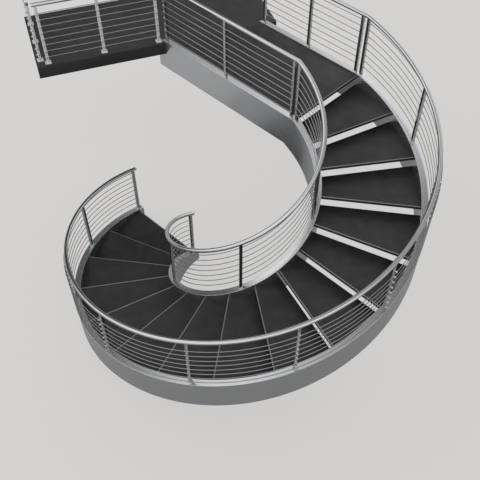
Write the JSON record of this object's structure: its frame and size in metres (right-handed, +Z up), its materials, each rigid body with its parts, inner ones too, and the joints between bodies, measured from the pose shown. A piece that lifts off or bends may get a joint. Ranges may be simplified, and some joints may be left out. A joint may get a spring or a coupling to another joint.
{
  "type": "curved open stair with landing",
  "caption": "Curved open-riser stair between two box stringers, with a straight landing, an upper platform and steel balustrades of thin rods.",
  "frame": {"origin": "centre of the foot plate's underside, on the lower floor", "axes": "+Z up, +X to the right and +Y to the back as the stair is seen from its front; the flight climbs anticlockwise seen from above"},
  "size_m": [5.6322, 6.5962, 3.771],
  "materials": {
    "grey_coated_steel": "satin mid-grey coating",
    "satin_steel": "satin stainless steel",
    "charcoal_coated_steel": "matt charcoal coating with a fine grain",
    "nosing_strip": "satin anti-slip strip"
  },
  "bodies": {
    "root": {"foot_plate": "grey_coated_steel", "inner_stringer": "grey_coated_steel", "outer_stringer": "grey_coated_steel", "inner_landing_stringer": "grey_coated_steel", "outer_landing_stringer": "grey_coated_steel", "tread_1": "charcoal_coated_steel", "tread_2": "charcoal_coated_steel", "tread_3": "charcoal_coated_steel", "tread_4": "charcoal_coated_steel", "tread_5": "charcoal_coated_steel", "tread_6": "charcoal_coated_steel", "tread_7": "charcoal_coated_steel", "tread_8": "charcoal_coated_steel", "tread_9": "charcoal_coated_steel", "tread_10": "charcoal_coated_steel", "tread_11": "charcoal_coated_steel", "tread_12": "charcoal_coated_steel", "tread_13": "charcoal_coated_steel", "tread_14": "charcoal_coated_steel", "tread_15": "charcoal_coated_steel", "landing_deck": "charcoal_coated_steel", "nosing_strips": "nosing_strip", "platform_slab": "charcoal_coated_steel", "inner_posts": "satin_steel", "outer_posts": "satin_steel", "landing_posts": "satin_steel", "platform_posts": "satin_steel", "inner_handrail": "satin_steel", "outer_handrail": "satin_steel", "platform_handrails": "satin_steel", "inner_rods_1": "satin_steel", "inner_rods_2": "satin_steel", "inner_rods_3": "satin_steel", "inner_rods_4": "satin_steel", "outer_rods_1": "satin_steel", "outer_rods_2": "satin_steel", "outer_rods_3": "satin_steel", "outer_rods_4": "satin_steel", "outer_rods_5": "satin_steel", "outer_rods_6": "satin_steel", "outer_rods_7": "satin_steel", "outer_rods_8": "satin_steel", "outer_rods_9": "satin_steel", "inner_landing_rods": "satin_steel", "outer_landing_rods": "satin_steel", "front_platform_rods": "satin_steel", "side_platform_rods": "satin_steel"}
  },
  "joints": []
}
